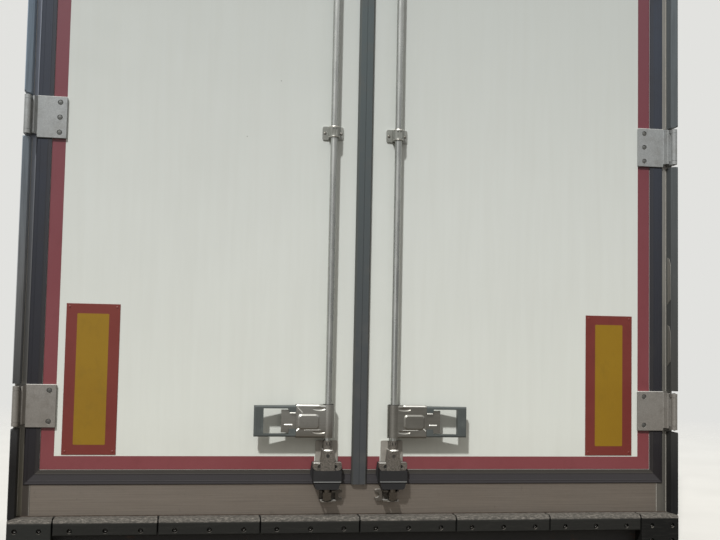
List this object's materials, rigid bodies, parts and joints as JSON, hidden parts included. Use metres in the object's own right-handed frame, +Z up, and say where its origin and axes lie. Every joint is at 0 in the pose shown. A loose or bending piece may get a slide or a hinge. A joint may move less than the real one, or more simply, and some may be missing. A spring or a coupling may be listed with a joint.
{
  "type": "rear door frame with twin doors of a refrigerated semi-trailer",
  "caption": "Rear portal of an insulated trailer: steel frame, twin hinged doors with lock rods and handles, rubber seals, reflective marking and a rubber dock bumper.",
  "frame": {"origin": "centre of the sill's front face, where the frame is joined to the trailer's body", "axes": "+X to the right seen from behind, +Y forward into the load space, +Z up; the doors' outer faces look along -Y"},
  "size_m": [2.6, 0.213, 3.153],
  "materials": {
    "stainless_frame": "brushed, dull with fine scuffs",
    "aluminium_trim": "mill finish",
    "lamp_lens": "moulded lens",
    "beam_paint": "dark chassis paint",
    "bumper_rubber": "worn, dusty top",
    "hinge_metal": "cast, matt",
    "cover_plastic": "moulded, weathered",
    "lock_steel": "galvanised casting",
    "door_skin": "white gelcoat, soft gloss",
    "seal_rubber": "extruded, matt",
    "tape_red": "reflective film",
    "plate_face": "reflective film, red border on yellow",
    "guard_plastic": "moulded",
    "rod_steel": "galvanised tube",
    "handle_steel": "pressed, polished by use",
    "grip_plastic": "moulded, slightly faded"
  },
  "bodies": {
    "frame": {"sill": "stainless_frame", "header": "stainless_frame", "drip_rail": "aluminium_trim", "marker_lamps": "lamp_lens", "bumper_beam": "beam_paint", "bumper_pad_1": "bumper_rubber", "bumper_pad_2": "bumper_rubber", "bumper_pad_3": "bumper_rubber", "bumper_pad_4": "bumper_rubber", "bumper_pad_5": "bumper_rubber", "bumper_pad_6": "bumper_rubber", "post_left": "stainless_frame", "post_right": "stainless_frame", "hinge_brackets_left": "hinge_metal", "hinge_brackets_right": "hinge_metal", "post_cover_left": "cover_plastic", "post_cover_right": "cover_plastic", "bumper_end_left": "bumper_rubber", "bumper_end_right": "bumper_rubber", "keepers_left": "lock_steel", "keepers_right": "lock_steel"},
    "door_left": {"door_panel_left": "door_skin", "gasket_left": "seal_rubber", "centre_seal_left": "seal_rubber", "contour_tape_left": "tape_red", "marking_plate_left": "plate_face", "hinge_leaves_left": "hinge_metal", "rod_guide_left": "lock_steel", "rod_bearings_left": "lock_steel", "rod_guards_left": "guard_plastic"},
    "lock_left": {"lock_rod_left": "rod_steel", "handle_arm_left": "handle_steel", "handle_grip_left": "grip_plastic"},
    "door_right": {"door_panel_right": "door_skin", "gasket_right": "seal_rubber", "centre_seal_right": "seal_rubber", "contour_tape_right": "tape_red", "marking_plate_right": "plate_face", "hinge_leaves_right": "hinge_metal", "rod_guide_right": "lock_steel", "rod_bearings_right": "lock_steel", "rod_guards_right": "guard_plastic"},
    "lock_right": {"lock_rod_right": "rod_steel", "handle_arm_right": "handle_steel", "handle_grip_right": "grip_plastic"}
  },
  "joints": [
    {"name": "door_left_hinge", "type": "hinge", "parent": "frame", "child": "door_left", "pos_m": [-1.288, -0.198, 1.424], "axis": [0, 0, -1], "range_deg": [0, 265]},
    {"name": "lock_left_turn", "type": "hinge", "parent": "door_left", "child": "lock_left", "pos_m": [-0.1285, -0.188, 1.424], "axis": [0, 0, 1], "range_deg": [0, 90]},
    {"name": "door_right_hinge", "type": "hinge", "parent": "frame", "child": "door_right", "pos_m": [1.288, -0.198, 1.424], "axis": [0, 0, 1], "range_deg": [0, 265]},
    {"name": "lock_right_turn", "type": "hinge", "parent": "door_right", "child": "lock_right", "pos_m": [0.1285, -0.188, 1.424], "axis": [0, 0, -1], "range_deg": [0, 90]}
  ]
}
